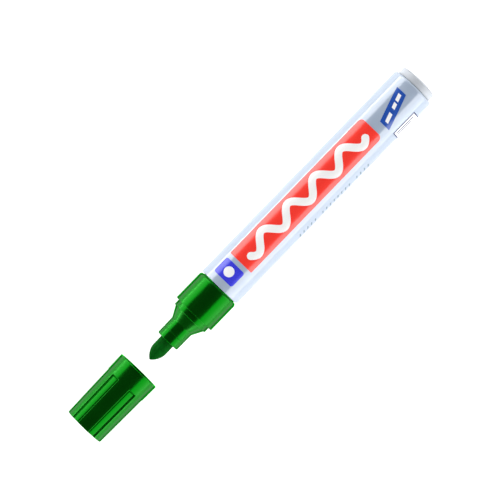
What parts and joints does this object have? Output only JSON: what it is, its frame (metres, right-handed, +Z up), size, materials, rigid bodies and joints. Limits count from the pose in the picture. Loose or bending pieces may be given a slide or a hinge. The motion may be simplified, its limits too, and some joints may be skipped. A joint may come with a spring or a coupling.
{
  "type": "whiteboard marker",
  "caption": "Round whiteboard marker lying on its side with its cap pulled off in line ahead of the bullet nib; the cap slides back over the nose and turns.",
  "frame": {"origin": "middle of the whole length with the cap lying off, straight below the marker's axis, on the surface that the barrel lies on", "axes": "+X along the marker's axis towards its tail, with the nib and the cap at -X; +Z straight up; +Y to the left when looking along +X"},
  "size_m": [0.165, 0.0164, 0.0163],
  "materials": {
    "barrel_white": "satin-gloss polypropylene",
    "cap_green": "gloss polypropylene",
    "liner_natural": "undyed polyethylene",
    "nib_felt": "sintered fibre soaked with ink",
    "fibre_core": "bundled fibre soaked with ink",
    "film_clear": "thin wrap film"
  },
  "bodies": {
    "marker": {"barrel": "barrel_white", "end_plug": "barrel_white", "front_section": "cap_green", "nib": "nib_felt", "reservoir_core": "fibre_core", "reservoir_film": "film_clear"},
    "liner": {"cap_liner": "liner_natural"},
    "cap": {"cap_shell": "cap_green"}
  },
  "joints": [
    {"name": "cap_slide", "type": "slide", "parent": "marker", "child": "liner", "axis": [1, 0, 0], "range_m": [0, 0.027]},
    {"name": "cap_turn", "type": "hinge", "parent": "liner", "child": "cap", "pos_m": [-0.05575, 0, 0.00817], "axis": [1, 0, 0], "continuous": true}
  ]
}
